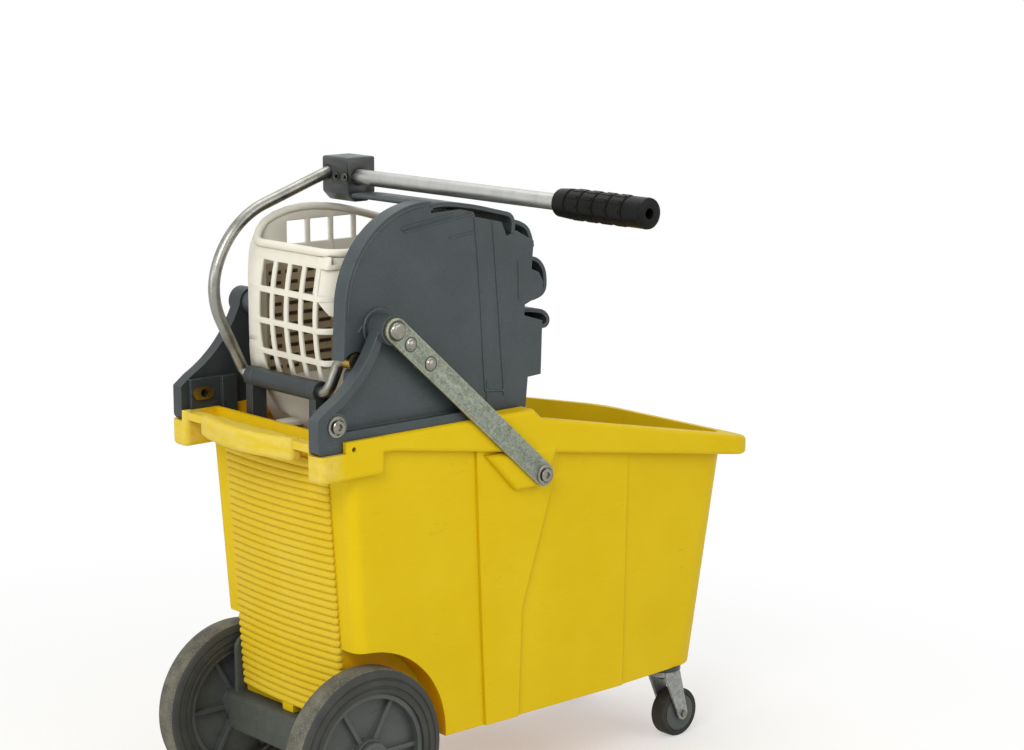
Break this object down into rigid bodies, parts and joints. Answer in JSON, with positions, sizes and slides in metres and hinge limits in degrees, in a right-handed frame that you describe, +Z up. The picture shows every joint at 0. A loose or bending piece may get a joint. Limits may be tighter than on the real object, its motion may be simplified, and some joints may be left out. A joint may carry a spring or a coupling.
{
  "type": "mop bucket with wringer",
  "caption": "Plastic mop bucket on large rear wheels and swivel casters, with a side lever that swings a press drum against a slotted basket to wring a mop over the tub.",
  "frame": {"origin": "on the floor below the middle of the rear axle", "axes": "+X towards the casters, +Y to the side away from the handle grip, +Z up"},
  "size_m": [0.642, 0.5275, 0.668],
  "materials": {
    "tub_plastic": "satin moulded polypropylene",
    "frame_plastic": "satin moulded plastic",
    "basket_plastic": "satin moulded plastic",
    "galvanised": "galvanised, mottled",
    "bright_steel": "plain steel",
    "tube_aluminium": "drawn tube",
    "fixing_brass": "yellow passivated",
    "grip_rubber": "matt black rubber",
    "wheel_rubber": "grey speckled solid rubber",
    "hub_plastic": "satin moulded plastic",
    "caster_rubber": "dark solid rubber"
  },
  "bodies": {
    "bucket": {"bucket_tub": "tub_plastic", "axle_beam": "frame_plastic", "beam_screws": "bright_steel", "rear_axle": "bright_steel", "hub_cap_near": "hub_plastic", "hub_cap_far": "hub_plastic", "caster_mount_near": "galvanised", "caster_mount_far": "galvanised", "side_bracket_near": "frame_plastic", "side_bracket_far": "frame_plastic", "brace_strap_near": "galvanised", "brace_strap_far": "galvanised", "pivot_pin_near": "bright_steel", "pivot_pin_far": "bright_steel", "strap_rivets": "bright_steel", "strap_bolts": "bright_steel", "frame_bolts": "bright_steel", "nut_plates": "fixing_brass", "cross_member": "frame_plastic", "wringer_basket": "basket_plastic", "basket_screws": "bright_steel"},
    "rear_wheel_near": {"rear_wheel_hub_near": "hub_plastic", "rear_tyre_near": "wheel_rubber"},
    "rear_wheel_far": {"rear_wheel_hub_far": "hub_plastic", "rear_tyre_far": "wheel_rubber"},
    "caster_near": {"caster_fork_near": "galvanised", "caster_axle_near": "bright_steel"},
    "caster_far": {"caster_fork_far": "galvanised", "caster_axle_far": "bright_steel"},
    "caster_wheel_near": {"caster_wheel_near": "hub_plastic", "caster_tyre_near": "caster_rubber"},
    "caster_wheel_far": {"caster_wheel_far": "hub_plastic", "caster_tyre_far": "caster_rubber"},
    "lever": {"lever_rod": "bright_steel", "crank_bush": "fixing_brass", "clamp_block": "frame_plastic", "grub_screws": "bright_steel", "handle_tube": "tube_aluminium", "handle_grip": "grip_rubber"},
    "press_drum": {"drum_plate_near": "frame_plastic", "drum_plate_far": "frame_plastic", "top_slat": "frame_plastic", "lip_slat": "frame_plastic", "nose_slat": "frame_plastic", "finger_slat": "frame_plastic", "press_plate": "frame_plastic"}
  },
  "joints": [
    {"name": "lever_turn", "type": "hinge", "parent": "bucket", "child": "lever", "pos_m": [-0.007, 0, 0.452], "axis": [0, -1, 0], "range_deg": [0, 60]},
    {"name": "press_drum_turn", "type": "hinge", "parent": "bucket", "child": "press_drum", "pos_m": [0.03, 0, 0.518], "axis": [0, 1, 0], "range_deg": [0, 27]},
    {"name": "rear_wheel_near_spin", "type": "hinge", "parent": "bucket", "child": "rear_wheel_near", "pos_m": [0, -0.1105, 0.09], "axis": [0, 1, 0], "continuous": true},
    {"name": "caster_near_swivel", "type": "hinge", "parent": "bucket", "child": "caster_near", "pos_m": [0.444, -0.089, 0.0777], "axis": [0, 0, 1], "continuous": true},
    {"name": "caster_wheel_near_spin", "type": "hinge", "parent": "caster_near", "child": "caster_wheel_near", "pos_m": [0.461, -0.089, 0.0275], "axis": [0, 1, 0], "continuous": true},
    {"name": "rear_wheel_far_spin", "type": "hinge", "parent": "bucket", "child": "rear_wheel_far", "pos_m": [0, 0.1105, 0.09], "axis": [0, 1, 0], "continuous": true},
    {"name": "caster_far_swivel", "type": "hinge", "parent": "bucket", "child": "caster_far", "pos_m": [0.444, 0.089, 0.0777], "axis": [0, 0, 1], "continuous": true},
    {"name": "caster_wheel_far_spin", "type": "hinge", "parent": "caster_far", "child": "caster_wheel_far", "pos_m": [0.461, 0.089, 0.0275], "axis": [0, 1, 0], "continuous": true}
  ],
  "couplings": [
    {"joint": "press_drum_turn", "follows": "lever_turn", "ratio": 0.45}
  ]
}
